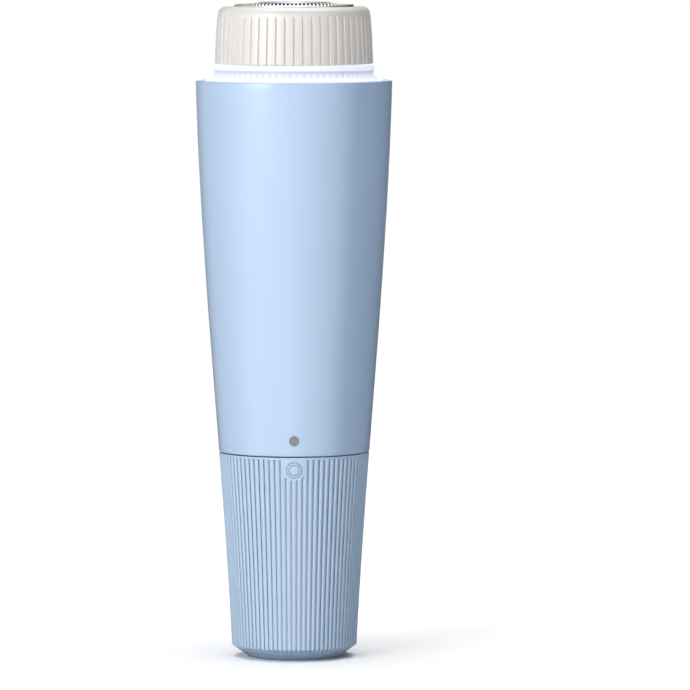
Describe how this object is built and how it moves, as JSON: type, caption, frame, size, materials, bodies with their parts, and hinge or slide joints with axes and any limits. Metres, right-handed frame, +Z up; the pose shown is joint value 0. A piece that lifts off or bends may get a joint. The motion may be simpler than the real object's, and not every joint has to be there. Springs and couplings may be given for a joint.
{
  "type": "electric shaver",
  "caption": "Round cordless shaver: ribbed twist grip, tapered blue handle, ring light and a ribbed twist-off head with a slotted rotary foil.",
  "frame": {"origin": "middle of the grip's base, where the shaver stands", "axes": "+Z up the shaver's axis towards the foil; -Y is the front, with the dot and the ring mark"},
  "size_m": [0.039, 0.039, 0.13],
  "materials": {
    "satin_blue": "satin ribbed ABS",
    "gloss_blue": "glossy ABS",
    "grey_plastic": "smooth",
    "cream_plastic": "satin ABS",
    "light_guide": "translucent white, lit from below",
    "inner_plastic": "moulded",
    "dark_plastic": "moulded",
    "steel": "bright",
    "spring_steel": "nickel plated",
    "copper": "copper",
    "brass": "bright",
    "magnet": "ferrite, matt",
    "rubber": "matt",
    "board": "solder mask",
    "cell_can": null,
    "red_wire": "insulated",
    "black_wire": "insulated"
  },
  "bodies": {
    "grip": {"grip_sleeve": "satin_blue", "negative_contact": "spring_steel", "battery_spring": "spring_steel"},
    "switch": {"switch_ring": "dark_plastic", "switch_wiper": "brass"},
    "handle": {"body_shell": "gloss_blue", "index_dot": "grey_plastic", "chassis_front": "inner_plastic", "chassis_back": "inner_plastic", "chassis_screw_1": "steel", "chassis_screw_2": "steel", "chassis_screw_3": "steel", "chassis_screw_4": "steel", "grip_seal": "rubber", "switch_contact": "brass", "battery_cell": "cell_can", "battery_button": "steel", "positive_contact": "spring_steel", "motor_end_cap": "dark_plastic", "motor_terminal_positive": "brass", "motor_terminal_negative": "brass", "motor_can": "steel", "motor_bearing": "brass", "motor_magnet_left": "magnet", "motor_magnet_right": "magnet", "motor_bracket": "steel", "bracket_screw_1": "steel", "bracket_screw_2": "steel", "motor_lead_positive": "red_wire", "motor_lead_negative": "black_wire", "light_lead_positive": "red_wire", "light_lead_negative": "black_wire", "head_seat": "inner_plastic", "seat_screw_1": "steel", "seat_screw_2": "steel", "seat_screw_3": "steel", "spindle_seal": "rubber", "light_ring": "light_guide", "light_board": "board", "lamp_1": "light_guide", "lamp_2": "light_guide", "lamp_3": "light_guide", "lamp_4": "light_guide", "lamp_5": "light_guide", "lamp_6": "light_guide"},
    "rotor": {"motor_shaft": "steel", "motor_armature": "copper", "commutator": "copper", "drive_hub": "dark_plastic", "coupler_spring": "spring_steel"},
    "coupler": {"drive_coupler": "dark_plastic"},
    "cage": {"cutter_cage": "cream_plastic"},
    "cutter": {"cutter_carrier": "dark_plastic", "cutter_blades": "steel"},
    "head": {"head_ring": "cream_plastic", "shaving_foil": "steel"}
  },
  "joints": [
    {"name": "grip_pull", "type": "slide", "parent": "grip", "child": "switch", "axis": [0, 0, 1], "range_m": [0, 0.045]},
    {"name": "power_twist", "type": "hinge", "parent": "switch", "child": "handle", "pos_m": [0, 0, 0.04], "axis": [0, 0, 1], "range_deg": [0, 40]},
    {"name": "motor_spin", "type": "hinge", "parent": "handle", "child": "rotor", "pos_m": [0, 0, 0.08], "axis": [0, 0, 1], "continuous": true},
    {"name": "coupler_plunge", "type": "slide", "parent": "rotor", "child": "coupler", "axis": [0, 0, 1], "range_m": [-0.0015, 0], "stiffness_N_per_m": 300, "springref_m": 0.001, "deforming": ["coupler_spring"]},
    {"name": "head_lift", "type": "slide", "parent": "handle", "child": "cage", "axis": [0, 0, 1], "range_m": [0, 0.025]},
    {"name": "head_twist", "type": "hinge", "parent": "cage", "child": "head", "pos_m": [0, 0, 0.122], "axis": [0, 0, 1], "range_deg": [0, 40]},
    {"name": "cutter_spin", "type": "hinge", "parent": "cage", "child": "cutter", "pos_m": [0, 0, 0.125], "axis": [0, 0, 1], "continuous": true}
  ],
  "couplings": [
    {"joint": "cutter_spin", "follows": "motor_spin", "ratio": 1}
  ]
}
